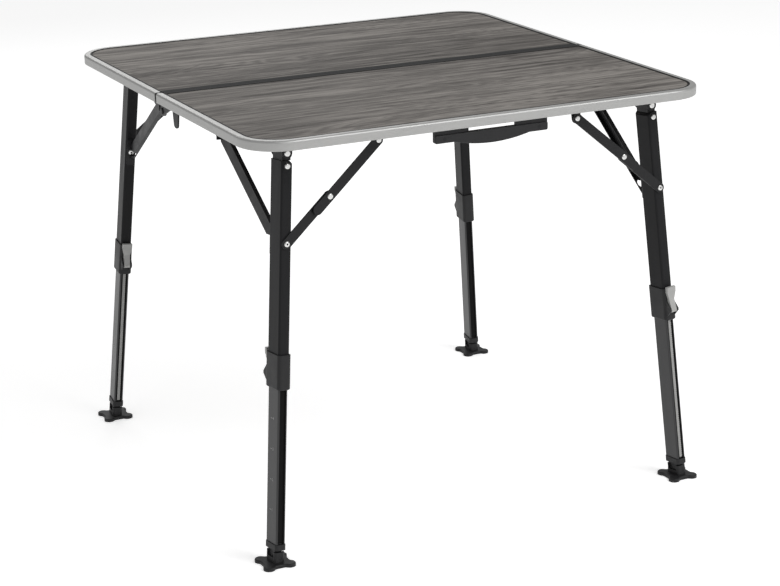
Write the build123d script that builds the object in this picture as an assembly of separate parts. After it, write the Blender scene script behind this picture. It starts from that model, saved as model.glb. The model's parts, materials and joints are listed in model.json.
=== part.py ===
from build123d import *
import math
import os

# Folding camping table: two laminate halves in an aluminium rim, hinged along a seam, on four
# telescopic legs that swing inwards to fold. Millimetres, +Z up, floor at Z = 0, seam along X.

# Table top
top_width = 850.0
top_depth = 860.0
top_height = 725.0
corner_radius = 70.0
rim_height = 17.0
rim_width = 11.0
rim_edge_round = 4.0
rim_foot_round = 1.5
rim_flange_width = 9.0
rim_flange_thickness = 2.0
rim_gap_at_seam = 7.0
board_thickness = 10.0
board_recess = 1.0
board_groove = 2.5
seam_gap = 0.5
seam_edge_width = 13.0
seam_edge_lip = 9.0
seam_edge_flange = 2.0
seam_edge_play = 0.1
seam_edge_end_play = 0.5

# Hinges between the halves
hinge_drop = 32.5
hinge_leaf_thickness = 2.5
hinge_leaf_gap = 0.3
hinge_leaf_reach = 48.0
hinge_pad_start = 14.0
hinge_eye_radius = 9.0
hinge_pin_radius = 3.0

# Leg stance and folding
leg_inset_x = 82.0
leg_inset_y = 82.5
leg_pivot_drop = 38.0
splay_x = 0.0798
splay_y = 0.066
toe_angle = 5.3

# Leg tubes: the narrow way is the way the leg swings
tube_narrow = 20.0
tube_wide = 38.5
tube_wall = 1.1
tube_corner = 3.5
tube_start = 12.0
tube_end = 378.0
tube_top_bevel = 6.0
inner_narrow = 17.2
inner_wide = 35.2
inner_side_wall = 1.5
inner_end_wall = 5.5
inner_corner = 2.5
inner_start = 276.0
groove_width = 11.6
groove_depth = 3.5

# Leg top plug, which turns on the bracket
plug_tongue_wide = 30.0
plug_tongue_radius = 8.0
plug_end = 45.0
plug_play = 0.1
plug_rivet_at = 20.5

# Clamp sleeve and lever
sleeve_narrow = 24.0
sleeve_wide = 46.0
sleeve_start = 330.0
sleeve_end = 389.0
sleeve_corner = 6.0
sleeve_foot_round = 3.0
sleeve_play = 0.05
slide_play = 0.35
lever_pin_at = 368.0
lever_pin_standoff = 5.5
lever_pin_radius = 2.0
lever_eye_radius = 5.0
lever_top = 326.0
lever_top_width = 18.0
lever_waist_width = 11.0
lever_waist_at = 349.0
lever_thickness = 6.0
lever_gap = 0.5
lever_lean_width = 1.0
ear_thickness = 3.0
ear_gap = 1.0
ear_start = 352.0
ear_end = 381.0

# Foot and its tilting joint
foot_pin_height = 14.0
foot_pin_radius = 3.0
foot_stem_narrow = 19.0
foot_stem_wide = 32.0
foot_stem_rise = 9.5
foot_tongue_wide = 19.0
foot_tongue_radius = 6.0
foot_slot_play = 0.35
foot_collar_gap = 4.0
foot_core = 46.0
foot_lobe_radius = 10.0
foot_lobe_offset = 18.5
foot_web_round = 6.0
foot_thickness = 6.0
foot_edge_round = 2.0
collar_height = 10.0
collar_floor = 2.0
collar_overhang = 1.5
collar_corner = 5.0

# Folding braces
brace_rivet_at = 146.5
upper_link_anchor = 165.0
upper_link_length = 124.4
upper_link_tail_length = 30.0
link_width = 17.0
link_thickness = 2.0
link_layer_gap = 0.5
link_spacer_radius = 5.0
tab_thickness = 1.8
tab_half_width = 9.0
left_brace_reach = 210.0
right_brace_reach = 155.0
side_brace_width = 22.0
side_brace_lip = 8.0
side_brace_sheet = 1.6
side_brace_pad_length = 50.0
side_brace_pad_width = 16.0

# Brackets and rivets
bracket_sheet = 2.5
bracket_half_width = 9.5
bracket_play = 0.4
bracket_flange_length = 62.0
bracket_flange_width = 50.0
tab_flange = 26.0
pivot_rivet_radius = 4.0
pivot_rivet_head = 5.5
rivet_radius = 3.0
rivet_head = 5.0
rivet_head_height = 2.2
rivet_dome_round = 2.0
rivet_head_clearance = 0.6
running_play = 0.05

# Carry handle under the front rim
handle_length = 210.0
handle_depth = 10.0
handle_setback = 8.0
handle_top_drop = 13.0
handle_end_drop = 26.6
handle_middle_drop = 35.5
handle_bulge_length = 140.0
handle_gap_length = 92.0
handle_block_recess = 3.0
handle_corner = 3.0
handle_round = 1.5
handle_screw_spacing = 176.0
handle_screw_radius = 2.0
handle_screw_head = 3.6
handle_screw_head_height = 1.5
handle_mount_sheet = 2.0
handle_mount_width = 30.0

# Levels and lengths worked out from the sizes above
board_top = top_height - board_recess
board_under = board_top - board_thickness
rim_bottom = top_height - rim_height
rim_inside_x = top_width / 2 - rim_width
leg_pivot_x = top_width / 2 - leg_inset_x
leg_pivot_y = top_depth / 2 - leg_inset_y
pivot_height = top_height - leg_pivot_drop
leg_slope = math.sqrt(1 + splay_x**2 + splay_y**2)
foot_pin_at = (pivot_height - foot_pin_height) * leg_slope
collar_end = foot_pin_at - foot_stem_rise - foot_collar_gap
inner_end = collar_end - collar_floor
lower_link_face = tube_wide / 2 + link_layer_gap
lower_link_back = lower_link_face + link_thickness
tab_face = lower_link_back + link_layer_gap
upper_link_face = lower_link_back + rivet_head_height + rivet_head_clearance
upper_link_back = upper_link_face + link_thickness
cheek_face = plug_tongue_wide / 2 + bracket_play
cheek_back = cheek_face + bracket_sheet
lever_pin_out = sleeve_wide / 2 + lever_pin_standoff
handle_ceiling = board_under - rim_flange_thickness
handle_front = -top_depth / 2 + handle_setback
handle_back = handle_front + handle_depth
handle_screw_height = handle_ceiling - (handle_top_drop + handle_end_drop) / 2
far = 2 * top_width
overrun = 1.0

os.makedirs("parts", exist_ok=True)


def save(name, *solids):
    """Write one node, a single piece or a group of like pieces."""
    shape = solids[0] if len(solids) == 1 else Compound(children=list(solids))
    export_step(shape, f"parts/{name}.step")


# Shapes used on several pieces


def outline_through(*points):
    """A closed outline through points of a plane, drawn anticlockwise."""
    turned = zip(points, points[1:] + points[:1])
    area = sum(a[0] * b[1] - b[0] * a[1] for a, b in turned)
    return Polygon(*(points if area > 0 else reversed(points)), align=None)


def half_outline(inset, seam_distance, side):
    """The rounded table outline, drawn in by inset, on one side of the seam."""
    outline = RectangleRounded(
        top_width - 2 * inset, top_depth - 2 * inset, corner_radius - inset
    )
    centre = side * (top_depth / 2 + seam_distance)
    return outline & (Pos(0, centre) * Rectangle(2 * top_width, top_depth))


def leg_bar(narrow, wide, corner, start, end):
    """A rounded bar along the leg, between two distances below the pivot."""
    return Pos(0, 0, -end) * extrude(RectangleRounded(narrow, wide, corner), end - start)


def cross_pin(radius, start, end, at, along=0.0):
    """A cylinder parallel to the pivot axis, at a distance below the pivot."""
    pin = Cylinder(radius, end - start, align=(Align.CENTER, Align.CENTER, Align.MIN))
    return Pos(along, start, -at) * Rot(-90, 0, 0) * pin


def cross_rivet(radius, head, start, end, at, along=0.0):
    """A rivet parallel to the pivot axis, with a domed head outside each of two faces."""
    dome = Cylinder(head, rivet_head_height, align=(Align.CENTER, Align.CENTER, Align.MIN))
    dome = fillet(dome.edges().sort_by(Axis.Z)[-1], rivet_dome_round)
    last = Pos(along, end, -at) * Rot(-90, 0, 0) * dome
    first = Pos(along, start, -at) * Rot(90, 0, 0) * dome
    return cross_pin(radius, start, end, at, along) + last + first


def cross_plate(outline, start, end):
    """A flat plate square to the pivot axis, drawn in the leg's swing plane."""
    return Pos(0, start, 0) * extrude(Plane.XZ * outline, end - start, dir=(0, 1, 0))


def link_outline(first, last, width):
    """A flat bar with round ends between two points of the swing plane."""
    length = math.dist(first, last)
    angle = math.degrees(math.atan2(last[1] - first[1], last[0] - first[0]))
    middle = ((first[0] + last[0]) / 2, (first[1] + last[1]) / 2)
    return Pos(*middle) * Rot(0, 0, angle) * SlotCenterToCenter(length, width)


def hanging_outline(along, half_width):
    """A tab with a round lower end at the pivot's height, long enough to reach the board."""
    reach = 2 * leg_pivot_drop
    return (Pos(along, reach / 2) * Rectangle(2 * half_width, reach)) + (
        Pos(along, 0) * Circle(half_width)
    )


def below_board(shape):
    """Trim a hanging bracket to the underside of the board."""
    room = Pos(0, 0, board_under - far / 2) * Box(2 * far, 2 * far, far)
    return shape & room


def under_board_flange(point, length, width, turn):
    """A bracket's fixing plate, flat against the underside of the board."""
    plate = RectangleRounded(length, width, min(length, width) / 6)
    plate = extrude(Rot(0, 0, turn) * plate, bracket_sheet)
    return Pos(point.X, point.Y, board_under - bracket_sheet) * plate


class LegFrame:
    """One leg's own axes: x inwards along the swing, y towards the seam, z up the tube."""

    def __init__(self, end, side):
        self.end = end
        self.side = side
        self.pivot = Vector(end * leg_pivot_x, side * leg_pivot_y, pivot_height)
        up = Vector(-end * splay_x, -side * splay_y, 1).normalized()
        toe = math.radians(toe_angle)
        level = Vector(-end * math.cos(toe), end * side * math.sin(toe), 0)
        inward = (level - up * level.dot(up)).normalized()
        self.mirrored = end * side < 0
        x_axis = -inward if self.mirrored else inward
        self.plane = Plane(origin=self.pivot, x_dir=x_axis, z_dir=up)
        self.anchor = (upper_link_anchor * level.dot(inward), upper_link_anchor * level.dot(up))
        self.turn = math.degrees(math.atan2(x_axis.Y, x_axis.X))
        self.brace_reach = left_brace_reach if end < 0 else right_brace_reach

    def place(self, shape):
        """Move a piece drawn on the leg's axes to its place on the table."""
        own = mirror(shape, about=Plane.YZ) if self.mirrored else shape
        return self.plane.location * own

    def point(self, along, across, height):
        """A point given on the leg's axes, on the table."""
        along = -along if self.mirrored else along
        return self.plane.from_local_coords(Vector(along, across, height))


# Table top: rim, board and seam edge of each half


def on_outer_edge(edge):
    """Whether an edge lies on the outline of the table top."""
    middle = edge.position_at(0.5)
    across = abs(middle.X) - (top_width / 2 - corner_radius)
    deep = abs(middle.Y) - (top_depth / 2 - corner_radius)
    reach = math.hypot(across, deep) if min(across, deep) > 0 else max(across, deep)
    return abs(reach - corner_radius) < 0.01


def make_rim(side):
    wall = half_outline(0, rim_gap_at_seam / 2, side) - half_outline(rim_width, 0, side)
    rim = Pos(0, 0, rim_bottom) * extrude(wall, rim_height)
    level = [e for e in rim.edges() if on_outer_edge(e) and abs(e.tangent_at(0.5).Z) < 0.5]
    upper = [e for e in level if e.center().Z > top_height - rim_height / 2]
    rim = fillet(upper, rim_edge_round)
    lower = [e for e in rim.edges() if on_outer_edge(e) and abs(e.center().Z - rim_bottom) < overrun / 10]
    rim = fillet(lower, rim_foot_round)
    flange_start = seam_gap / 2 + seam_edge_width + seam_edge_lip + seam_edge_end_play
    shelf = half_outline(rim_width, flange_start, side)
    shelf -= half_outline(rim_width + rim_flange_width, 0, side)
    shelf = extrude(shelf, rim_flange_thickness)
    return rim + Pos(0, 0, board_under - rim_flange_thickness) * shelf


def make_board(side):
    seam_distance = seam_gap / 2 + seam_edge_width + seam_edge_play
    edge = half_outline(rim_width + board_groove, seam_distance, side)
    return Pos(0, 0, board_under) * extrude(edge, board_thickness)


def make_seam_edge(side):
    length = 2 * (rim_inside_x - board_groove)
    tall = board_recess + board_thickness + seam_edge_flange
    middle = side * (seam_gap + seam_edge_width) / 2
    block = Pos(0, middle, top_height - tall / 2) * Box(length, seam_edge_width, tall)
    lip = Box(length, seam_edge_width, seam_edge_flange)
    return block + Pos(0, middle + side * seam_edge_lip, board_under - seam_edge_flange / 2) * lip


# Hinges at both ends of the seam


def hinge_outline(side):
    height = top_height - hinge_drop
    ceiling = board_under - rim_flange_thickness - hinge_leaf_gap
    clear = rim_gap_at_seam / 2
    leaf = outline_through(
        (side * hinge_leaf_reach, ceiling),
        (side * clear, ceiling),
        (0, height + hinge_eye_radius),
        (0, height - hinge_eye_radius),
        (side * hinge_leaf_reach, rim_bottom - hinge_leaf_thickness),
    )
    return leaf + Pos(0, height) * Circle(hinge_eye_radius)


def make_hinge_leaf(end, side):
    wall = rim_inside_x
    near = wall if side < 0 else wall - hinge_leaf_thickness - hinge_leaf_gap
    outline = hinge_outline(side)
    leaf = extrude(Plane.YZ * outline, hinge_leaf_thickness, dir=(1, 0, 0))
    leaf = Pos(near - hinge_leaf_thickness, 0, 0) * leaf
    if side > 0:
        span = Pos(hinge_leaf_reach, 0) * Rectangle(2 * (hinge_leaf_reach - hinge_pad_start), far)
        pad_thickness = hinge_leaf_thickness + hinge_leaf_gap
        pad = extrude(Plane.YZ * (outline & span), pad_thickness, dir=(1, 0, 0))
        leaf += Pos(near, 0, 0) * pad
    play = 0.0 if side < 0 else running_play
    hole = Pos(wall, 0, top_height - hinge_drop) * Rot(0, 90, 0)
    leaf -= hole * Cylinder(hinge_pin_radius + play, far / 4)
    return leaf if end > 0 else mirror(leaf, about=Plane.YZ)


def make_hinge_pin(end):
    wall = rim_inside_x
    length = 2 * hinge_leaf_thickness + hinge_leaf_gap
    base = (Align.CENTER, Align.CENTER, Align.MIN)
    head = Cylinder(hinge_eye_radius - hinge_pin_radius, rivet_head_height, align=base)
    head = fillet(head.edges().sort_by(Axis.Z)[-1], rivet_dome_round)
    pin = Cylinder(hinge_pin_radius, length + running_play, align=base)
    pin = Pos(0, 0, -length - running_play) * pin + head
    pin += Pos(0, 0, -length - running_play) * Rot(180, 0, 0) * head
    pin = Pos(wall, 0, top_height - hinge_drop) * Rot(0, 90, 0) * pin
    return pin if end > 0 else mirror(pin, about=Plane.YZ)


# Brackets under the board


def make_leg_bracket(frame):
    outline = hanging_outline(0, bracket_half_width)
    bracket = cross_plate(outline, cheek_face, cheek_back)
    bracket += cross_plate(outline, -cheek_back, -cheek_face)
    bracket -= cross_pin(pivot_rivet_radius, -far, far, 0)
    hung = below_board(frame.place(bracket))
    top = frame.point(0, 0, leg_pivot_drop - board_recess - board_thickness)
    return hung + under_board_flange(top, bracket_flange_length, bracket_flange_width, frame.turn)


def make_link_tab(frame):
    along, height = frame.anchor
    outline = Pos(0, height) * hanging_outline(along, tab_half_width)
    tab = cross_plate(outline, -tab_face - tab_thickness, -tab_face)
    tab -= cross_pin(rivet_radius, -far, far, -height, along)
    middle = -tab_face - tab_thickness / 2
    top = frame.point(along, middle, height + leg_pivot_drop - board_recess - board_thickness)
    return below_board(frame.place(tab)) + under_board_flange(top, tab_flange, tab_flange, frame.turn)


def make_side_tab(frame):
    face = frame.brace_reach + bracket_play
    tab = cross_plate(hanging_outline(0, tab_half_width), face, face + tab_thickness)
    tab -= cross_pin(rivet_radius, -far, far, 0)
    top = frame.point(0, face + tab_thickness / 2, leg_pivot_drop)
    return below_board(frame.place(tab)) + under_board_flange(top, tab_flange, tab_flange, frame.turn)


def make_bracket_rivets(frame):
    along, height = frame.anchor
    pivot = cross_rivet(pivot_rivet_radius, pivot_rivet_head, -cheek_back, cheek_back, 0)
    anchor_start = -upper_link_back - running_play
    anchor = cross_rivet(rivet_radius, rivet_head, anchor_start, -tab_face, -height, along)
    brace_start = frame.brace_reach - link_thickness - running_play
    brace_end = frame.brace_reach + bracket_play + tab_thickness
    brace = cross_rivet(rivet_radius, rivet_head, brace_start, brace_end, 0)
    return [frame.place(r) for r in (pivot, anchor, brace)]


# Leg pieces, drawn on the leg's own axes


def make_top_bevel():
    """The wedge cut off the inner corner at the top of the leg."""
    corner = tube_narrow / 2
    size = tube_top_bevel + overrun
    bevel = outline_through(
        (corner + overrun, overrun - tube_start),
        (corner - size, overrun - tube_start),
        (corner + overrun, -tube_start - size),
    )
    return cross_plate(bevel, -tube_wide, tube_wide)


def make_leg_tube():
    tube = leg_bar(tube_narrow, tube_wide, tube_corner, tube_start, tube_end)
    bore = leg_bar(
        tube_narrow - 2 * tube_wall,
        tube_wide - 2 * tube_wall,
        tube_corner - tube_wall,
        tube_start - overrun,
        tube_end + overrun,
    )
    tube -= bore
    tube -= make_top_bevel()
    for at in (plug_rivet_at, brace_rivet_at):
        tube -= cross_pin(rivet_radius, -far, far, at)
    return tube


def make_top_plug():
    inside_narrow = tube_narrow - 2 * (tube_wall + plug_play)
    inside_wide = tube_wide - 2 * (tube_wall + plug_play)
    plug = leg_bar(inside_narrow, inside_wide, tube_corner - tube_wall, tube_start, plug_end)
    neck = Pos(0, -tube_start / 2) * Rectangle(2 * plug_tongue_radius, tube_start + plug_play)
    tongue = neck + Circle(plug_tongue_radius)
    plug -= make_top_bevel()
    plug += cross_plate(tongue, -plug_tongue_wide / 2, plug_tongue_wide / 2)
    plug -= cross_pin(pivot_rivet_radius + running_play, -far, far, 0)
    return plug - cross_pin(rivet_radius, -far, far, plug_rivet_at)


def make_clamp_sleeve(lever_side):
    sleeve = leg_bar(sleeve_narrow, sleeve_wide, sleeve_corner, sleeve_start, sleeve_end)
    lower_edges = sleeve.edges().group_by(Axis.Z)[0]
    sleeve = fillet(lower_edges, sleeve_foot_round)
    face = lever_side * sleeve_wide / 2
    tip = lever_side * (lever_pin_out + lever_eye_radius)
    ear = outline_through(
        (face - lever_side * overrun, -ear_start),
        (tip, -lever_pin_at + lever_pin_radius),
        (tip, -lever_pin_at - lever_pin_radius),
        (face - lever_side * overrun, -ear_end),
    )
    ear_inside = lever_waist_width / 2 + ear_gap
    for hand in (-1, 1):
        plate = extrude(Plane.YZ * ear, ear_thickness, dir=(1, 0, 0))
        start = ear_inside if hand > 0 else -ear_inside - ear_thickness
        sleeve += Pos(start, 0, 0) * plate
    sleeve -= leg_bar(
        tube_narrow + 2 * sleeve_play,
        tube_wide + 2 * sleeve_play,
        tube_corner + sleeve_play,
        sleeve_start - overrun,
        tube_end + sleeve_play,
    )
    sleeve -= leg_bar(
        inner_narrow + 2 * slide_play,
        inner_wide + 2 * slide_play,
        inner_corner + slide_play,
        tube_end - overrun,
        sleeve_end + overrun,
    )
    pin = Pos(0, lever_side * lever_pin_out, -lever_pin_at) * Rot(0, 90, 0)
    return sleeve + pin * Cylinder(lever_pin_radius, 2 * ear_inside + ear_thickness)


def make_clamp_lever(lever_side):
    front = outline_through(
        (-lever_top_width / 2, -lever_top),
        (lever_top_width / 2, -lever_top),
        (lever_top_width / 2, -lever_top - lever_top_width / 2),
        (lever_waist_width / 2, -lever_waist_at),
        (lever_waist_width / 2, -lever_pin_at - lever_eye_radius),
        (-lever_waist_width / 2, -lever_pin_at - lever_eye_radius),
        (-lever_waist_width / 2, -lever_waist_at),
        (-lever_top_width / 2, -lever_top - lever_top_width / 2),
    )
    inside = sleeve_wide / 2 + lever_gap
    outside = inside + lever_thickness
    shank = outline_through(
        (lever_side * (inside + lever_lean_width), -lever_top),
        (lever_side * (outside + lever_lean_width), -lever_top),
        (lever_side * (outside - lever_lean_width), -lever_waist_at),
        (lever_side * (lever_pin_out + lever_eye_radius), -lever_pin_at),
        (lever_side * inside, -lever_pin_at),
        (lever_side * inside, -lever_waist_at),
    )
    shank += Pos(lever_side * lever_pin_out, -lever_pin_at) * Circle(lever_eye_radius)
    lever = extrude(Plane.YZ * shank, lever_top_width / 2, both=True)
    lever &= cross_plate(front, -far, far)
    pin = Pos(0, lever_side * lever_pin_out, -lever_pin_at) * Rot(0, 90, 0)
    return lever - pin * Cylinder(lever_pin_radius + running_play, 2 * sleeve_narrow)


def make_inner_tube():
    tube = leg_bar(inner_narrow, inner_wide, inner_corner, inner_start, inner_end)
    tube -= leg_bar(
        inner_narrow - 2 * inner_side_wall,
        inner_wide - 2 * inner_end_wall,
        inner_corner - inner_side_wall,
        inner_start - overrun,
        inner_end + overrun,
    )
    length = inner_end - inner_start
    groove = Box(groove_width, 2 * groove_depth, length + 2 * overrun)
    for hand in (-1, 1):
        tube -= Pos(0, hand * inner_wide / 2, -(inner_start + inner_end) / 2) * groove
    return tube


def make_end_cap():
    narrow = inner_narrow + 2 * collar_overhang
    wide = inner_wide + 2 * collar_overhang
    cap = leg_bar(narrow, wide, collar_corner, collar_end - collar_height, collar_end)
    cap -= leg_bar(
        inner_narrow + 2 * sleeve_play,
        inner_wide + 2 * sleeve_play,
        inner_corner + sleeve_play,
        collar_end - collar_height - overrun,
        inner_end,
    )
    rise = foot_pin_at - collar_end
    neck = Pos(0, -foot_pin_at + rise / 2) * Rectangle(2 * foot_tongue_radius, rise + running_play)
    tongue = neck + Pos(0, -foot_pin_at) * Circle(foot_tongue_radius)
    cap += cross_plate(tongue, -foot_tongue_wide / 2, foot_tongue_wide / 2)
    reach = foot_stem_wide / 2 - bracket_play
    return cap + cross_pin(foot_pin_radius, -reach, reach, foot_pin_at)


def make_foot(frame):
    stem = leg_bar(
        foot_stem_narrow,
        foot_stem_wide,
        foot_stem_narrow / 4,
        foot_pin_at - foot_stem_rise,
        foot_pin_at + 2 * foot_pin_height,
    )
    slot_radius = foot_tongue_radius + foot_slot_play
    slot = Pos(0, -foot_pin_at) * Circle(slot_radius)
    slot += Pos(0, -foot_pin_at + foot_stem_rise) * Rectangle(2 * foot_stem_narrow, 2 * foot_stem_rise)
    half_slot = foot_tongue_wide / 2 + foot_slot_play
    stem -= cross_plate(slot, -half_slot, half_slot)
    stem -= cross_pin(foot_pin_radius + running_play, -far, far, foot_pin_at)
    above_floor = Pos(0, 0, far / 2) * Box(2 * far, 2 * far, far)
    sole = Rectangle(foot_core, foot_core)
    for x in (-1, 1):
        for y in (-1, 1):
            sole += Pos(x * foot_lobe_offset, y * foot_lobe_offset) * Circle(foot_lobe_radius)
    sole = fillet(sole.vertices(), foot_web_round)
    plate = extrude(sole, foot_thickness)
    plate = fillet(plate.edges().group_by(Axis.Z)[-1], foot_edge_round)
    ground = frame.point(0, 0, -pivot_height * leg_slope)
    hollow = cross_plate(slot, -half_slot, half_slot)
    plate = Pos(ground.X, ground.Y, 0) * plate - frame.place(hollow)
    return (frame.place(stem) & above_floor) + plate


# Braces, drawn on the leg's own axes


def brace_points(frame):
    """The links' rivet points in the swing plane: anchor, knee and leg."""
    anchor = frame.anchor
    foot = (0.0, -brace_rivet_at)
    share = upper_link_length / math.dist(anchor, foot)
    knee = tuple(a + share * (b - a) for a, b in zip(anchor, foot))
    return anchor, knee, foot


def make_upper_link(frame):
    anchor, knee, foot = brace_points(frame)
    share = upper_link_tail_length / math.dist(knee, foot)
    tail = tuple(a + share * (b - a) for a, b in zip(knee, foot))
    bar = link_outline(anchor, tail, link_width)
    link = cross_plate(bar, -upper_link_back, -upper_link_face)
    link -= cross_pin(rivet_radius + running_play, -far, far, -anchor[1], anchor[0])
    spacer_end = -lower_link_back - link_layer_gap
    link += cross_pin(link_spacer_radius, -upper_link_face, spacer_end, -knee[1], knee[0])
    dome = cross_rivet(
        rivet_radius, rivet_head, -upper_link_back, -upper_link_face, -knee[1], knee[0]
    )
    outside = Pos(0, -upper_link_face - far / 2, 0) * Box(far, far, far)
    return link + (dome & outside)


def make_lower_link(frame):
    anchor, knee, foot = brace_points(frame)
    link = cross_plate(link_outline(knee, foot, link_width), -lower_link_back, -lower_link_face)
    return link - cross_pin(rivet_radius + running_play, -far, far, brace_rivet_at)


def make_side_brace(frame):
    reach = frame.brace_reach
    face = tube_wide / 2
    pad_end = face + link_thickness
    low = Vector(0, pad_end, -brace_rivet_at)
    high = Vector(0, reach - link_thickness, 0)
    run = high - low
    angle = math.degrees(math.atan2(run.Z, run.Y))
    channel = Rectangle(side_brace_sheet, side_brace_width)
    for hand in (-1, 1):
        edge = hand * (side_brace_width - side_brace_sheet) / 2
        lip = Rectangle(side_brace_lip, side_brace_sheet)
        channel += Pos((side_brace_lip - side_brace_sheet) / 2, edge) * lip
    length = run.length + side_brace_width
    brace = Pos(0, 0, -length / 2) * extrude(channel, length)
    middle = (low + high) * 0.5
    brace = Pos(middle.X, middle.Y, middle.Z) * Rot(angle - 90, 0, 0) * brace
    span = reach - face
    brace &= Pos(0, face + span / 2, 0) * Box(far, span, far)
    brace &= Pos(0, 0, tab_half_width - far / 2) * Box(far, far, far)
    pad = Pos(0, -brace_rivet_at) * RectangleRounded(
        side_brace_pad_width, side_brace_pad_length, side_brace_pad_width / 4
    )
    brace += cross_plate(pad, face, pad_end)
    eye = Circle(tab_half_width)
    eye += Pos(0, -tab_half_width / 2) * Rectangle(2 * tab_half_width, tab_half_width)
    brace += cross_plate(eye, reach - link_thickness, reach)
    clear = rivet_head + bracket_play
    brace -= cross_pin(clear, reach - far, reach - link_thickness, 0)
    brace -= cross_pin(clear, pad_end, far, brace_rivet_at)
    brace -= cross_pin(rivet_radius + running_play, -far, far, 0)
    return brace - cross_pin(rivet_radius, -far, far, brace_rivet_at)


def make_leg_rivets():
    face = tube_wide / 2
    inside = face - tube_wall
    plug = cross_rivet(rivet_radius, rivet_head, -face, face, plug_rivet_at)
    outer = -lower_link_back - running_play
    brace = cross_rivet(rivet_radius, rivet_head, outer, face + link_thickness, brace_rivet_at)
    washer = cross_pin(link_spacer_radius, -lower_link_face + running_play, -face, brace_rivet_at)
    brace = brace + washer - cross_pin(rivet_head, -inside, inside, brace_rivet_at)
    return [plug, *brace.solids()]


# Carry handle


def make_handle():
    half = handle_length / 2
    top = handle_ceiling - handle_top_drop
    ends = handle_ceiling - handle_end_drop
    middle = handle_ceiling - handle_middle_drop
    bar = Pos(0, (top + ends) / 2) * RectangleRounded(handle_length, top - ends, handle_corner)
    bulge_end = handle_bulge_length / 2
    bulge = ThreePointArc((-bulge_end, ends), (0, middle), (bulge_end, ends))
    bar += make_face(Curve() + [bulge, Line((bulge_end, ends), (-bulge_end, ends))])
    handle = Pos(0, handle_back, 0) * extrude(Plane.XZ * bar, handle_depth, dir=(0, -1, 0))
    handle = fillet(handle.edges().group_by(Axis.Y)[0], handle_round)
    block_length = half - handle_gap_length / 2
    block_depth = handle_depth - handle_block_recess
    block = Box(block_length, block_depth, handle_top_drop + handle_corner)
    for hand in (-1, 1):
        x = hand * (half - block_length / 2)
        height = handle_ceiling - (handle_top_drop + handle_corner) / 2
        handle += Pos(x, handle_back - block_depth / 2, height) * block
        at = Pos(hand * handle_screw_spacing / 2, handle_front, handle_screw_height) * Rot(90, 0, 0)
        handle -= at * Cylinder(handle_screw_radius, 4 * handle_depth)
        handle -= at * Cylinder(handle_screw_head, 2 * handle_screw_head_height)
    return handle


def make_handle_mount(hand):
    tall = handle_end_drop
    plate = Box(handle_mount_width, handle_mount_sheet, tall)
    foot = Box(handle_mount_width, handle_mount_width, handle_mount_sheet)
    x = hand * handle_screw_spacing / 2
    mount = Pos(x, handle_back + handle_mount_sheet / 2, handle_ceiling - tall / 2) * plate
    under = handle_ceiling - handle_mount_sheet / 2
    mount += Pos(x, handle_back + handle_mount_width / 2, under) * foot
    hole = Pos(x, handle_back, handle_screw_height) * Rot(90, 0, 0)
    return mount - hole * Cylinder(handle_screw_radius, 4 * handle_depth)


def make_handle_screw(hand):
    base = (Align.CENTER, Align.CENTER, Align.MIN)
    screw = Cylinder(handle_screw_radius, handle_depth + handle_mount_sheet, align=base)
    screw += Cylinder(handle_screw_head, handle_screw_head_height, align=base)
    at = Pos(hand * handle_screw_spacing / 2, handle_front, handle_screw_height)
    return at * Rot(-90, 0, 0) * screw


# Build every node
for side, half in ((-1, "front"), (1, "back")):
    save(f"rim_{half}", make_rim(side))
    save(f"board_{half}", make_board(side))
    save(f"seam_edge_{half}", make_seam_edge(side))
    save(f"hinge_leaves_{half}", *[make_hinge_leaf(end, side) for end in (-1, 1)])
    brackets = []
    rivets = []
    for end, hand in ((-1, "left"), (1, "right")):
        leg = f"{half}_{hand}"
        frame = LegFrame(end, side)
        lever_side = -end
        brackets += [make_leg_bracket(frame), make_link_tab(frame), make_side_tab(frame)]
        rivets += make_bracket_rivets(frame)
        save(f"{leg}_leg_tube", frame.place(make_leg_tube()))
        save(f"{leg}_top_plug", frame.place(make_top_plug()))
        save(f"{leg}_clamp_sleeve", frame.place(make_clamp_sleeve(lever_side)))
        save(f"{leg}_clamp_lever", frame.place(make_clamp_lever(lever_side)))
        save(f"{leg}_inner_tube", frame.place(make_inner_tube()))
        save(f"{leg}_end_cap", frame.place(make_end_cap()))
        save(f"{leg}_foot", make_foot(frame))
        save(f"{leg}_upper_link", frame.place(make_upper_link(frame)))
        save(f"{leg}_lower_link", frame.place(make_lower_link(frame)))
        save(f"{leg}_side_brace", frame.place(make_side_brace(frame)))
        save(f"{leg}_leg_rivets", *[frame.place(r) for r in make_leg_rivets()])
    save(f"leg_brackets_{half}", *brackets)
    save(f"bracket_rivets_{half}", *rivets)
save("hinge_pins", make_hinge_pin(-1), make_hinge_pin(1))
save("handle", make_handle())
save("handle_mounts", make_handle_mount(-1), make_handle_mount(1))
save("handle_screws", make_handle_screw(-1), make_handle_screw(1))
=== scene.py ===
import json
import math

import bmesh
import bpy
from mathutils import Matrix, Vector


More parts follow.
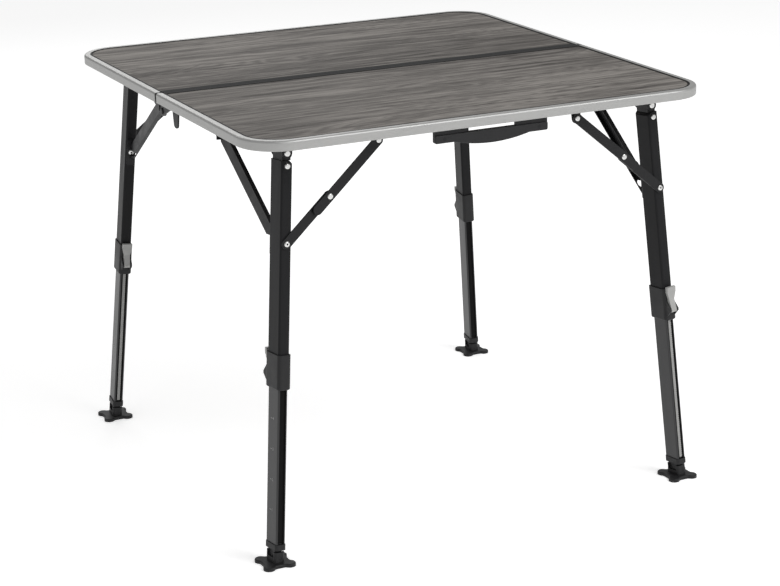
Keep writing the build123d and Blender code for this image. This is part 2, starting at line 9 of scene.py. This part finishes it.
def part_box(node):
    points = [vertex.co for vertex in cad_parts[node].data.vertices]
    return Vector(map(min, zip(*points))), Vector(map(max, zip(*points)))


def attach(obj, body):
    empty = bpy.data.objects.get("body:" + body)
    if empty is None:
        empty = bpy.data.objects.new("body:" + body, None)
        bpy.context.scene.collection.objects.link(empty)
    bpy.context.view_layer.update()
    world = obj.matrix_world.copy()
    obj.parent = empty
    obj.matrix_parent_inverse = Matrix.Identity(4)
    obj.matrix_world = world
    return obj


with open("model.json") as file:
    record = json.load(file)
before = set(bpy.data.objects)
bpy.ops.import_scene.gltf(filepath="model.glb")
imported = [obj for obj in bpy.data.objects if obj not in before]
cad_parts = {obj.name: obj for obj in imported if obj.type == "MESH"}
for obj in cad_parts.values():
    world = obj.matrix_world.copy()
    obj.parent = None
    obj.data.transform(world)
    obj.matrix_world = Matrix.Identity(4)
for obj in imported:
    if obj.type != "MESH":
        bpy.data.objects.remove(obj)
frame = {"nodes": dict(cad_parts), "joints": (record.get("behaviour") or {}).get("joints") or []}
nodes = frame["nodes"]
joints = {joint["name"]: joint for joint in frame["joints"]}
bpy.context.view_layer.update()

# Rim: two U-shaped aluminium extrusions, bent round the corners, satin anodised. The boards sit in
# them on a flange. The finish has faint marks drawn out along the extrusion.
cloud_detail, grain_detail, grain_share, grain_height = 5, 2, 0.35, 0.0003
drift_low, drift_high = 0.45, 0.90
tones = bpy.data.node_groups.new("drawn_tones", "ShaderNodeTree")
for name, kind in (
    ("Dark", "NodeSocketColor"),
    ("Light", "NodeSocketColor"),
    ("Stretch", "NodeSocketVector"),
    ("Cloud Scale", "NodeSocketFloat"),
    ("Grain Scale", "NodeSocketFloat"),
    ("Grain Depth", "NodeSocketFloat"),
    ("Smooth", "NodeSocketFloat"),
    ("Rough", "NodeSocketFloat"),
):
    tones.interface.new_socket(name, in_out="INPUT", socket_type=kind)
tones.interface.new_socket("Colour", in_out="OUTPUT", socket_type="NodeSocketColor")
tones.interface.new_socket("Roughness", in_out="OUTPUT", socket_type="NodeSocketFloat")
tones.interface.new_socket("Normal", in_out="OUTPUT", socket_type="NodeSocketVector")
given = tones.nodes.new("NodeGroupInput")
result = tones.nodes.new("NodeGroupOutput")
place = tones.nodes.new("ShaderNodeTexCoord")
drawn = tones.nodes.new("ShaderNodeVectorMath")
drawn.operation = "MULTIPLY"
clouds = tones.nodes.new("ShaderNodeTexNoise")
clouds.inputs["Detail"].default_value = cloud_detail
grain = tones.nodes.new("ShaderNodeTexNoise")
grain.inputs["Detail"].default_value = grain_detail
speckle = tones.nodes.new("ShaderNodeMath")
speckle.operation = "MULTIPLY_ADD"
speckle.inputs[1].default_value = grain_share
mixed = tones.nodes.new("ShaderNodeMix")
mixed.data_type = "RGBA"
drift = tones.nodes.new("ShaderNodeMapRange")
drift.inputs["From Min"].default_value = drift_low
drift.inputs["From Max"].default_value = drift_high
bump = tones.nodes.new("ShaderNodeBump")
bump.inputs["Distance"].default_value = grain_height
link = tones.links.new
link(place.outputs["Object"], drawn.inputs[0])
link(given.outputs["Stretch"], drawn.inputs[1])
link(drawn.outputs["Vector"], clouds.inputs["Vector"])
link(given.outputs["Cloud Scale"], clouds.inputs["Scale"])
link(drawn.outputs["Vector"], grain.inputs["Vector"])
link(given.outputs["Grain Scale"], grain.inputs["Scale"])
link(grain.outputs["Fac"], speckle.inputs[0])
link(clouds.outputs["Fac"], speckle.inputs[2])
link(speckle.outputs["Value"], drift.inputs["Value"])
link(given.outputs["Smooth"], drift.inputs["To Min"])
link(given.outputs["Rough"], drift.inputs["To Max"])
link(drift.outputs["Result"], result.inputs["Roughness"])
link(clouds.outputs["Fac"], mixed.inputs["Factor"])
link(given.outputs["Dark"], mixed.inputs["A"])
link(given.outputs["Light"], mixed.inputs["B"])
link(mixed.outputs["Result"], result.inputs["Colour"])
link(grain.outputs["Fac"], bump.inputs["Height"])
link(given.outputs["Grain Depth"], bump.inputs["Strength"])
link(bump.outputs["Normal"], result.inputs["Normal"])


def make_finish(
    name, dark, light, stretch, cloud_scale, grain_scale, grain_depth, smooth, rough,
    metallic=0.0, specular=0.5,
):
    """A material with two drawn-out tones, a fine grain and a drifting gloss."""
    material = bpy.data.materials.new(name)
    material.use_nodes = True
    tree = material.node_tree
    shader = tree.nodes["Principled BSDF"]
    shader.inputs["Metallic"].default_value = metallic
    shader.inputs["Specular IOR Level"].default_value = specular
    effect = tree.nodes.new("ShaderNodeGroup")
    effect.node_tree = tones
    effect.inputs["Dark"].default_value = (*dark, 1)
    effect.inputs["Light"].default_value = (*light, 1)
    effect.inputs["Stretch"].default_value = stretch
    effect.inputs["Cloud Scale"].default_value = cloud_scale
    effect.inputs["Grain Scale"].default_value = grain_scale
    effect.inputs["Grain Depth"].default_value = grain_depth
    effect.inputs["Smooth"].default_value = smooth
    effect.inputs["Rough"].default_value = rough
    tree.links.new(effect.outputs["Colour"], shader.inputs["Base Color"])
    tree.links.new(effect.outputs["Roughness"], shader.inputs["Roughness"])
    tree.links.new(effect.outputs["Normal"], shader.inputs["Normal"])
    return material


def dress(material, *names):
    """Give CAD nodes one finish."""
    for name in names:
        nodes[name].data.materials.clear()
        nodes[name].data.materials.append(material)


satin_aluminium = make_finish(
    "satin_aluminium", dark=(0.36, 0.36, 0.355), light=(0.47, 0.47, 0.46), stretch=(0.15, 0.15, 1),
    cloud_scale=30, grain_scale=900, grain_depth=0.05, smooth=0.40, rough=0.52, metallic=0.75,
)
dress(satin_aluminium, "rim_front", "rim_back")

# Boards: grey wood-grain laminate on a flat core, one board in each half. The pressed grain runs
# along the seam in broad streaks, flame-shaped rings and fine dark pores.
wood_dark = (0.050, 0.044, 0.040, 1)
wood_middle = (0.145, 0.134, 0.123, 1)
wood_light = (0.275, 0.256, 0.236, 1)
wood_low, wood_high, wood_specular, layer_roughness = 0.72, 1.14, 0.12, 0.62
ring_count, ring_share, pore_share, plank_share = 95, 0.06, 0.42, 0.45
pore_rough, pore_smooth, pore_strength, pore_height = 0.72, 0.56, 0.25, 0.0003
laminate = bpy.data.materials.new("grey_wood_laminate")
laminate.use_nodes = True
tree = laminate.node_tree
shader = tree.nodes["Principled BSDF"]
shader.inputs["Specular IOR Level"].default_value = wood_specular
place = tree.nodes.new("ShaderNodeTexCoord")
layers = {}
for name, scale, size, detail, distortion in (
    ("streaks", (0.9, 16, 1), 5.0, 8, 0.4),
    ("flames", (0.55, 4.5, 1), 3.0, 3, 0.9),
    ("pores", (7, 190, 1), 7.0, 4, 0.2),
    ("planks", (0.3, 3.2, 1), 2.2, 2, 0.0),
):
    mapping = tree.nodes.new("ShaderNodeMapping")
    mapping.inputs["Scale"].default_value = scale
    noise = tree.nodes.new("ShaderNodeTexNoise")
    noise.inputs["Scale"].default_value = size
    noise.inputs["Detail"].default_value = detail
    noise.inputs["Roughness"].default_value = layer_roughness
    noise.inputs["Distortion"].default_value = distortion
    tree.links.new(place.outputs["Object"], mapping.inputs["Vector"])
    tree.links.new(mapping.outputs["Vector"], noise.inputs["Vector"])
    layers[name] = noise.outputs["Fac"]
rings = tree.nodes.new("ShaderNodeMath")
rings.operation = "MULTIPLY"
rings.inputs[1].default_value = ring_count
wave = tree.nodes.new("ShaderNodeMath")
wave.operation = "SINE"
tree.links.new(layers["flames"], rings.inputs[0])
tree.links.new(rings.outputs["Value"], wave.inputs[0])
figure = layers["streaks"]
for layer, share in (
    (wave.outputs["Value"], ring_share),
    (layers["pores"], pore_share),
    (layers["planks"], plank_share),
):
    add = tree.nodes.new("ShaderNodeMath")
    add.operation = "MULTIPLY_ADD"
    add.inputs[1].default_value = share
    tree.links.new(layer, add.inputs[0])
    tree.links.new(figure, add.inputs[2])
    figure = add.outputs["Value"]
spread = tree.nodes.new("ShaderNodeMapRange")
spread.inputs["From Min"].default_value = wood_low
spread.inputs["From Max"].default_value = wood_high
ramp = tree.nodes.new("ShaderNodeValToRGB")
ramp.color_ramp.elements[0].color = wood_dark
ramp.color_ramp.elements[1].color = wood_light
ramp.color_ramp.elements.new(0.5).color = wood_middle
tree.links.new(figure, spread.inputs["Value"])
tree.links.new(spread.outputs["Result"], ramp.inputs["Fac"])
tree.links.new(ramp.outputs["Color"], shader.inputs["Base Color"])
gloss = tree.nodes.new("ShaderNodeMapRange")
gloss.inputs["To Min"].default_value = pore_rough
gloss.inputs["To Max"].default_value = pore_smooth
tree.links.new(layers["pores"], gloss.inputs["Value"])
tree.links.new(gloss.outputs["Result"], shader.inputs["Roughness"])
bump = tree.nodes.new("ShaderNodeBump")
bump.inputs["Strength"].default_value = pore_strength
bump.inputs["Distance"].default_value = pore_height
tree.links.new(layers["pores"], bump.inputs["Height"])
tree.links.new(bump.outputs["Normal"], shader.inputs["Normal"])
dress(laminate, "board_front", "board_back")

# Painted groove shade: flat black strips laid in the groove between rim and board, with a lip on
# the board, as painted shade where the groove is dark. Each runs round one half, from seam to seam.
# A black finish: the real colour of the rim end caps, and painted shade in the rim groove, rivet
# holes and leg grooves.
black_caps_and_painted_shade = make_finish(
    "black_caps_and_painted_shade", dark=(0.003, 0.003, 0.003), light=(0.007, 0.007, 0.007), stretch=(1, 1, 0.1),
    cloud_scale=60, grain_scale=1500, grain_depth=0.08, smooth=0.5, rough=0.65, specular=0.1,
)


def round_edges(mesh, edges, radius, segments):
    """Round some edges of a bmesh."""
    bmesh.ops.bevel(
        mesh, geom=edges, offset=radius, segments=segments, profile=0.5, affect="EDGES", material=-1
    )


def extrude_down(mesh, depth):
    """Give flat faces of a bmesh a thickness below them."""
    lower = bmesh.ops.extrude_face_region(mesh, geom=mesh.faces[:], use_keep_orig=True)
    lower = [part for part in lower["geom"] if isinstance(part, bmesh.types.BMVert)]
    bmesh.ops.translate(mesh, vec=(0, 0, -depth), verts=lower)


def add_piece(name, mesh, material, body):
    """Finish a bmesh as a piece that moves with a body."""
    bmesh.ops.recalc_face_normals(mesh, faces=mesh.faces)
    data = bpy.data.meshes.new(name)
    mesh.to_mesh(data)
    mesh.free()
    data.materials.append(material)
    piece = bpy.data.objects.new(name, data)
    bpy.context.scene.collection.objects.link(piece)
    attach(piece, body)


rim_width, rim_corner, groove_width = 0.011, 0.070, 0.0025
rim_groove_shade_play, rim_groove_shade_lip, rim_groove_shade_end = 0.00005, 0.0016, 0.0037
rim_groove_shade_drop, rim_groove_shade_depth, rim_groove_shade_round = 0.0002, 0.00075, 0.0002
rim_groove_shade_inset = rim_width + rim_groove_shade_play
low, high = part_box("rim_front")[0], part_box("rim_back")[1]
# Each strip is black painted shade in the groove between rim and board.
for half, side in (("front", -1), ("back", 1)):
    mesh = bmesh.new()
    bmesh.ops.create_grid(mesh, x_segments=1, y_segments=1, size=0.5)
    span = (high[0] - low[0] - 2 * rim_groove_shade_inset, high[1] - low[1] - 2 * rim_groove_shade_inset, 1)
    bmesh.ops.scale(mesh, vec=span, verts=mesh.verts)
    bmesh.ops.translate(mesh, vec=(0, 0, high[2] - rim_groove_shade_drop), verts=mesh.verts)
    bmesh.ops.bevel(
        mesh, geom=mesh.verts, offset=rim_corner - rim_groove_shade_inset, segments=14, profile=0.5,
        affect="VERTICES", material=-1,
    )
    middle = mesh.faces[:]
    bmesh.ops.inset_region(
        mesh, faces=middle, thickness=groove_width + rim_groove_shade_lip, use_boundary=True,
        use_even_offset=True,
    )
    bmesh.ops.delete(mesh, geom=middle, context="FACES")
    bmesh.ops.bisect_plane(
        mesh, geom=mesh.verts[:] + mesh.edges[:] + mesh.faces[:],
        plane_co=(0, side * rim_groove_shade_end, 0), plane_no=(0, side, 0), clear_inner=True,
    )
    top_edges = [edge for edge in mesh.edges if edge.is_boundary]
    extrude_down(mesh, rim_groove_shade_depth)
    round_edges(mesh, top_edges, rim_groove_shade_round, segments=2)
    add_piece(f"painted_rim_groove_shade_{half}", mesh, black_caps_and_painted_shade, f"{half}_half")

# Rim end caps: thin black plastic caps on the cut ends of both extrusions, which meet at the seam.
# They are pushed into the extrusions, a little inside their outer faces.
cap_inset, cap_gap, cap_thickness, cap_round, rim_height = 0.0007, 0.0003, 0.0031, 0.0005, 0.017
for half, side in (("front", -1), ("back", 1)):
    mesh = bmesh.new()
    for end in (-1, 1):
        cap = bmesh.ops.create_cube(mesh, size=1)["verts"]
        size = (rim_width - 2 * cap_inset, cap_thickness, rim_height - 2 * cap_inset)
        bmesh.ops.scale(mesh, vec=size, verts=cap)
        middle = (
            end * (high[0] - rim_width / 2),
            side * (cap_gap + cap_thickness / 2),
            high[2] - rim_height / 2,
        )
        bmesh.ops.translate(mesh, vec=middle, verts=cap)
    round_edges(mesh, mesh.edges[:], cap_round, segments=2)
    add_piece(f"rim_end_caps_{half}", mesh, black_caps_and_painted_shade, f"{half}_half")

# Seam edges: dark extruded plastic profiles along the straight edge of each board, fixed by a lip
# under the board. They meet at the seam when the table is open.
seam_plastic = make_finish(
    "seam_plastic", dark=(0.020, 0.020, 0.020), light=(0.036, 0.036, 0.036), stretch=(0.05, 1, 1),
    cloud_scale=50, grain_scale=1500, grain_depth=0.12, smooth=0.6, rough=0.75, specular=0.08,
)
dress(seam_plastic, "seam_edge_front", "seam_edge_back")

# Hinges and brackets: pressed steel sheet, powder coated black, screwed under the boards. The hinge
# pins are steel rod with the same coat.
coated_steel = make_finish(
    "coated_steel", dark=(0.009, 0.009, 0.010), light=(0.016, 0.016, 0.017), stretch=(1, 1, 1),
    cloud_scale=40, grain_scale=1500, grain_depth=0.12, smooth=0.36, rough=0.5, specular=0.25,
)
for half in ("front", "back"):
    dress(coated_steel, f"hinge_leaves_{half}", f"leg_brackets_{half}")
dress(coated_steel, "hinge_pins")

# Rivets: turned steel, plated bright and closed with domed heads. Those of the brackets carry the
# legs, the links and the side braces.
bright_steel = make_finish(
    "bright_steel", dark=(0.55, 0.55, 0.54), light=(0.78, 0.78, 0.77), stretch=(1, 1, 1),
    cloud_scale=150, grain_scale=2500, grain_depth=0.05, smooth=0.16, rough=0.30, metallic=1.0,
)
dress(bright_steel, "bracket_rivets_front", "bracket_rivets_back")

# Outer legs: rectangular aluminium tubes, black, hung on the brackets by moulded top plugs. A rivet
# goes through each tube and its plug, and blind rivets in the tube's walls hold the braces.
legs = ("front_left", "front_right", "back_left", "back_right")
black_tube = make_finish(
    "black_tube", dark=(0.014, 0.014, 0.015), light=(0.020, 0.020, 0.021), stretch=(1, 1, 0.04),
    cloud_scale=60, grain_scale=900, grain_depth=0.04, smooth=0.34, rough=0.46, specular=0.1,
)
black_moulding = make_finish(
    "black_moulding", dark=(0.012, 0.012, 0.013), light=(0.021, 0.021, 0.022), stretch=(1, 1, 1),
    cloud_scale=35, grain_scale=1800, grain_depth=0.18, smooth=0.42, rough=0.58, specular=0.3,
)
for leg in legs:
    dress(black_tube, f"{leg}_leg_tube")
    dress(black_moulding, f"{leg}_top_plug")
    dress(bright_steel, f"{leg}_leg_rivets")

# Braces: two flat links that fold at a knee, and a channel-shaped side brace, on each leg. They are
# pressed from steel sheet, coated black, and riveted to the tube and the brackets.
for leg in legs:
    dress(coated_steel, f"{leg}_upper_link", f"{leg}_lower_link", f"{leg}_side_brace")

# Knee rivets: a bright domed head on the upper link of each brace, where the links fold. It is
# turned and plated like the others, and closed over the link's outer face.
upper_link_length, link_outer_face = 0.1244, 0.02655
head_radius, head_height, head_round = 0.0052, 0.0024, 0.0021


def leg_axes(leg):
    """A leg's pivot and its own axes: inwards along the swing, towards the seam, up the tube."""
    pivot = Vector(joints[f"{leg}_fold"]["pos_m"])
    up = Vector(joints[f"{leg}_extend"]["axis"])
    swing = Vector(joints[f"{leg}_fold"]["axis"])
    seamward = swing if swing.y * pivot.y < 0 else -swing
    return pivot, swing.cross(-up), seamward, up


def seated(spot, outward):
    """The matrix that sets a shape on a spot with its own Z axis outward."""
    return Matrix.Translation(spot) @ outward.to_track_quat("Z", "Y").to_matrix().to_4x4()


for leg in legs:
    seamward = leg_axes(leg)[2]
    anchor = Vector(joints[f"{leg}_upper_link_turn"]["pos_m"])
    reach = Vector(joints[f"{leg}_lower_link_turn"]["pos_m"]) - anchor
    knee = anchor + reach.normalized() * upper_link_length
    mesh = bmesh.new()
    bmesh.ops.create_cone(
        mesh, cap_ends=True, segments=32, radius1=head_radius, radius2=head_radius,
        depth=head_height,
    )
    crown = [edge for edge in mesh.edges if all(vert.co.z > 0 for vert in edge.verts)]
    round_edges(mesh, crown, head_round, segments=6)
    spot = knee - seamward * (link_outer_face + head_height / 2)
    bmesh.ops.transform(mesh, matrix=seated(spot, -seamward), verts=mesh.verts)
    add_piece(f"{leg}_knee_rivet", mesh, bright_steel, f"{leg}_upper_link_body")

# Rivet hole shade: the brace rivets are tubular, and a black disc set just proud of each head's
# centre is painted shade where the hollow is dark, on the link side and on the side brace.
hole_shade_radius, hole_shade_taper, hole_shade_depth, hole_shade_proud = 0.0017, 0.9, 0.0004, 0.00004
link_head_crown, brace_head_crown = 0.0240, 0.02345
for leg in legs:
    seamward = leg_axes(leg)[2]
    rivet = Vector(joints[f"{leg}_lower_link_turn"]["pos_m"])
    mesh = bmesh.new()
    for outward, crown in ((-seamward, link_head_crown), (seamward, brace_head_crown)):
        hole_shade = bmesh.ops.create_cone(
            mesh, cap_ends=True, segments=20, radius1=hole_shade_radius, radius2=hole_shade_taper * hole_shade_radius,
            depth=hole_shade_depth,
        )["verts"]
        spot = rivet + outward * (crown + hole_shade_proud - hole_shade_depth / 2)
        bmesh.ops.transform(mesh, matrix=seated(spot, outward), verts=hole_shade)
    add_piece(f"{leg}_painted_rivet_hole_shade", mesh, black_caps_and_painted_shade, f"{leg}_leg")

# Clamps: a moulded black sleeve on the end of each outer leg, and a light grey moulded lever on its
# pin, which locks the telescope.
grey_moulding = make_finish(
    "grey_moulding", dark=(0.36, 0.36, 0.35), light=(0.46, 0.46, 0.45), stretch=(1, 1, 1),
    cloud_scale=40, grain_scale=1600, grain_depth=0.12, smooth=0.36, rough=0.5,
)
for leg in legs:
    dress(black_moulding, f"{leg}_clamp_sleeve")
    dress(grey_moulding, f"{leg}_clamp_lever")

# Inner legs: dark anodised aluminium extrusions, brushed lengthwise, with a groove down both narrow
# sides. A black strip laid in each groove is painted shade, where the groove is dark.
anodised_tube = make_finish(
    "anodised_tube", dark=(0.035, 0.035, 0.036), light=(0.055, 0.055, 0.056), stretch=(1, 1, 0.02),
    cloud_scale=90, grain_scale=1200, grain_depth=0.05, smooth=0.28, rough=0.4, metallic=0.6,
)
inner_start, inner_stop = 0.278, 0.651
inner_middle, inner_length = -(inner_start + inner_stop) / 2, inner_stop - inner_start
leg_groove_shade_width, leg_groove_shade_thickness, leg_groove_shade_seat, leg_groove_shade_round = 0.0112, 0.0009, 0.01415, 0.0002


def along_leg(leg):
    """The matrix that takes a shape from a leg's own axes, with its pivot at zero, to the table."""
    pivot, inward, seamward, up = leg_axes(leg)
    return Matrix.Translation(pivot) @ Matrix((inward, seamward, up)).transposed().to_4x4()


for leg in legs:
    dress(anodised_tube, f"{leg}_inner_tube")
    # Each black strip is painted shade where a groove is dark.
    for hand, edge_name in ((-1, "outer"), (1, "seam")):
        mesh = bmesh.new()
        bmesh.ops.create_cube(mesh, size=1)
        size = (leg_groove_shade_width, leg_groove_shade_thickness, inner_length)
        bmesh.ops.scale(mesh, vec=size, verts=mesh.verts)
        round_edges(mesh, mesh.edges[:], leg_groove_shade_round, segments=1)
        middle = (0, hand * (leg_groove_shade_seat + leg_groove_shade_thickness / 2), inner_middle)
        bmesh.ops.translate(mesh, vec=middle, verts=mesh.verts)
        bmesh.ops.transform(mesh, matrix=along_leg(leg), verts=mesh.verts)
        name = f"{leg}_painted_groove_shade_{edge_name}"
        add_piece(name, mesh, black_caps_and_painted_shade, f"{leg}_inner_leg")

# Racks: light grey moulded strips with fine teeth, set on the black strip of painted groove shade
# at the lever side. The clamp's pawl catches in the teeth.
rack_width, rack_seat, rack_base = 0.0052, 0.01507, 0.0005
tooth_height, tooth_pitch = 0.0009, 0.004
teeth, step = int(inner_length / tooth_pitch), tooth_pitch / 2
for leg in legs:
    lever_side = 1 if leg.endswith("left") else -1
    mesh = bmesh.new()
    bmesh.ops.create_grid(mesh, x_segments=1, y_segments=2 * teeth, size=0.5)
    bmesh.ops.scale(mesh, vec=(rack_width, teeth * tooth_pitch, 1), verts=mesh.verts)
    bmesh.ops.translate(mesh, vec=(0, 0, rack_base), verts=mesh.verts)
    extrude_down(mesh, rack_base)
    tops = [face for face in mesh.faces if all(vert.co.z > rack_base / 2 for vert in face.verts)]
    crests = [face for face in tops if round(face.calc_center_median().y / step - 0.5) % 2 == 0]
    for face in bmesh.ops.extrude_discrete_faces(mesh, faces=crests)["faces"]:
        bmesh.ops.translate(mesh, vec=(0, 0, tooth_height), verts=face.verts)
    length_first = Matrix(((1, 0, 0), (0, 0, lever_side), (0, 1, 0))).to_4x4()
    bmesh.ops.transform(mesh, matrix=length_first, verts=mesh.verts)
    middle = (0, lever_side * rack_seat, inner_middle)
    bmesh.ops.translate(mesh, vec=middle, verts=mesh.verts)
    bmesh.ops.transform(mesh, matrix=along_leg(leg), verts=mesh.verts)
    add_piece(f"{leg}_rack", mesh, grey_moulding, f"{leg}_inner_leg")

# Height scale: pale marks printed on the outward face of each inner leg, a short bar and a plain
# digit for each height.
scale_print = make_finish(
    "scale_print", dark=(0.30, 0.30, 0.30), light=(0.42, 0.42, 0.42), stretch=(1, 1, 1),
    cloud_scale=300, grain_scale=2500, grain_depth=0.05, smooth=0.45, rough=0.6,
)
first_mark, mark_pitch, mark_count, mark_face = 0.440, 0.052, 4, 0.00866
digit_size, digit_thickness = 0.007, 0.00004
bar_size, bar_offset = (0.005, 0.0009, 0.00008), 0.004
for leg in legs:
    pivot, inward, _, up = leg_axes(leg)
    across = up.cross(-inward)
    turn = Matrix((across, up, -inward)).transposed().to_4x4()
    mesh = bmesh.new()
    for mark in range(mark_count):
        text = bpy.data.curves.new("mark", "FONT")
        text.body = str(mark_count - mark)
        text.size = digit_size
        text.align_y = "CENTER"
        text.extrude = digit_thickness
        letter = bpy.data.objects.new("mark", text)
        digit = bpy.data.meshes.new_from_object(letter)
        bpy.data.objects.remove(letter)
        spot = pivot - up * (first_mark + mark_pitch * mark) - inward * mark_face
        digit.transform(Matrix.Translation(spot) @ turn)
        mesh.from_mesh(digit)
        bpy.data.meshes.remove(digit)
        bar = bmesh.ops.create_cube(mesh, size=1)["verts"]
        bmesh.ops.scale(mesh, vec=bar_size, verts=bar)
        bar_place = Matrix.Translation(spot - across * bar_offset) @ turn
        bmesh.ops.transform(mesh, matrix=bar_place, verts=bar)
    add_piece(f"{leg}_height_marks", mesh, scale_print, f"{leg}_inner_leg")

# Feet: moulded black plastic. A collar pushed on the end of each inner leg closes it, and a broad
# sole tilts on a pin under the collar.
for leg in legs:
    dress(black_moulding, f"{leg}_end_cap", f"{leg}_foot")

# Carry handle: one black moulded bar with a bulged grip. Two mounts of black coated sheet hold it
# under the front rim, with a screw in each.
dress(black_moulding, "handle")
dress(coated_steel, "handle_mounts", "handle_screws")

# Latch tongue: a black moulded tongue that hangs from the rim's flange on the left, just in front
# of the seam. It tapers to a rounded tip.
tongue_x, tongue_y, tongue_top, tongue_length = -0.408, -0.051, 0.712, 0.040
tongue_width, tongue_tip_width, tongue_thickness, tongue_round = 0.030, 0.016, 0.003, 0.0065
mesh = bmesh.new()
bmesh.ops.create_cube(mesh, size=1)
bmesh.ops.scale(mesh, vec=(tongue_thickness, tongue_width, tongue_length), verts=mesh.verts)
tip = [vert for vert in mesh.verts if vert.co.z < 0]
bmesh.ops.scale(mesh, vec=(1, tongue_tip_width / tongue_width, 1), verts=tip)
corners = [
    edge for edge in mesh.edges
    if all(vert in tip for vert in edge.verts) and edge.calc_length() < tongue_tip_width / 2
]
round_edges(mesh, corners, tongue_round, segments=6)
middle = (tongue_x, tongue_y, tongue_top - tongue_length / 2)
bmesh.ops.translate(mesh, vec=middle, verts=mesh.verts)
add_piece("latch_tongue", mesh, black_moulding, "front_half")

# Floor and world: a white sweep under an even soft light. The floor looks a little lighter to the
# camera and in reflections, as overlit paper does, and keeps the table's shadow.
floor_reach, floor_colour, floor_roughness, floor_lift = 40, 0.92, 0.9, 0.46
world_strength = 0.47
mesh = bmesh.new()
bmesh.ops.create_grid(mesh, x_segments=1, y_segments=1, size=floor_reach)
data = bpy.data.meshes.new("floor")
mesh.to_mesh(data)
mesh.free()
paper = bpy.data.materials.new("white_paper")
paper.use_nodes = True
tree = paper.node_tree
shader = tree.nodes["Principled BSDF"]
shader.inputs["Base Color"].default_value = (floor_colour, floor_colour, floor_colour, 1)
shader.inputs["Roughness"].default_value = floor_roughness
shader.inputs["Emission Color"].default_value = (1, 1, 1, 1)
path = tree.nodes.new("ShaderNodeLightPath")
shown = path.outputs["Is Camera Ray"]
for ray in ("Is Glossy Ray", "Is Transmission Ray"):
    either = tree.nodes.new("ShaderNodeMath")
    either.operation = "MAXIMUM"
    tree.links.new(shown, either.inputs[0])
    tree.links.new(path.outputs[ray], either.inputs[1])
    shown = either.outputs["Value"]
lift = tree.nodes.new("ShaderNodeMath")
lift.operation = "MULTIPLY"
lift.inputs[1].default_value = floor_lift
tree.links.new(shown, lift.inputs[0])
tree.links.new(lift.outputs["Value"], shader.inputs["Emission Strength"])
data.materials.append(paper)
floor = bpy.data.objects.new("floor", data)
bpy.context.scene.collection.objects.link(floor)
world = bpy.data.worlds.new("studio")
world.use_nodes = True
background = world.node_tree.nodes["Background"]
background.inputs["Color"].default_value = (1, 1, 1, 1)
background.inputs["Strength"].default_value = world_strength
bpy.context.scene.world = world

# Lamps: three square soft boxes, turned to the table. A broad key stands at the front right, a weak
# fill at the left and a soft lamp behind.
for name, spot, aim, size, power in (
    ("key", (1.6, -3.0, 3.2), (0, 0, 0.5), 2.2, 84),
    ("fill", (-3.2, -1.2, 2.0), (0, 0, 0.5), 2.0, 3),
    ("back", (0.5, 3.0, 2.6), (0, 0, 0.7), 2.0, 25),
):
    lamp = bpy.data.lights.new(name, "AREA")
    lamp.size = size
    lamp.energy = power
    lit = bpy.data.objects.new(name, lamp)
    lit.location = spot
    lit.rotation_euler = (Vector(aim) - Vector(spot)).to_track_quat("-Z", "Y").to_euler()
    bpy.context.scene.collection.objects.link(lit)

# Camera: a long lens from the front left, above the table top, at the photograph's viewing angle.
# The small shift sets the table in the frame as it stands there.
lens_length, sensor_width, shift_right, shift_up = 101.5, 36, -0.0479, 0.0032
turn_degrees, lift_degrees, roll_degrees = -27.095, 17.7177, -0.6548
standpoint = (-1.693, -3.4906, 1.5339)
camera = bpy.data.cameras.new("camera")
camera.sensor_width = sensor_width
camera.sensor_fit = "HORIZONTAL"
camera.lens = lens_length
camera.shift_x = shift_right
camera.shift_y = shift_up
viewer = bpy.data.objects.new("camera", camera)
azimuth, elevation = math.radians(turn_degrees), math.radians(lift_degrees)
sideways = Vector((math.cos(azimuth), math.sin(azimuth), 0))
backward = Vector((math.sin(azimuth), -math.cos(azimuth), math.tan(elevation))).normalized()
above = backward.cross(sideways)
level = Matrix((sideways, above, backward)).transposed()
rolled = level @ Matrix.Rotation(math.radians(roll_degrees), 3, "Z")
viewer.matrix_world = Matrix.Translation(standpoint) @ rolled.to_4x4()
bpy.context.scene.collection.objects.link(viewer)
bpy.context.scene.camera = viewer
bpy.context.scene.view_settings.view_transform = "Standard"
